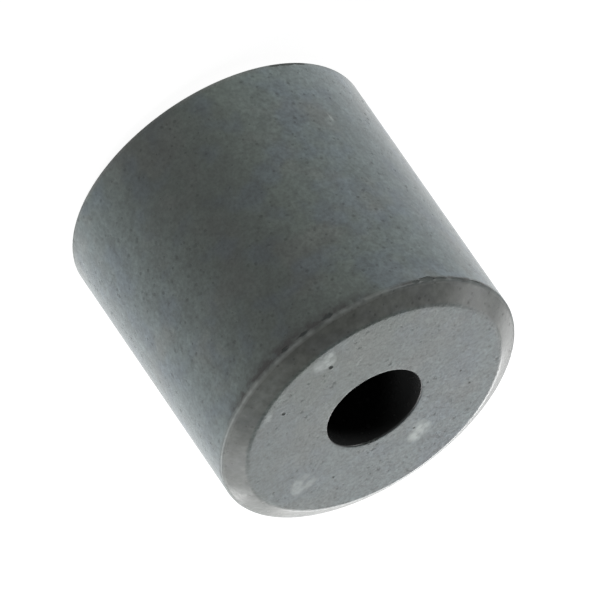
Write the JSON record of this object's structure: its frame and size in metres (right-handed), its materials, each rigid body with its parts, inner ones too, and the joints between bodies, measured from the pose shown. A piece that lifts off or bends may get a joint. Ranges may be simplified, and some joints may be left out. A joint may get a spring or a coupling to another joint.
{
  "type": "ferrite bead",
  "caption": "Solid cylindrical ferrite sleeve with a straight through bore and chamfered ends, slipped over a wire to damp high-frequency noise.",
  "frame": {"origin": "centre of the lower end face, on the bore's axis", "axes": "+Z along the bore, from the end that the bead stands on to the other end"},
  "size_m": [0.0074, 0.0074, 0.0075],
  "materials": {
    "ferrite": "fired and tumbled, matt grey with fine dark pores"
  },
  "bodies": {
    "root": {"ferrite_core": "ferrite"}
  },
  "joints": []
}
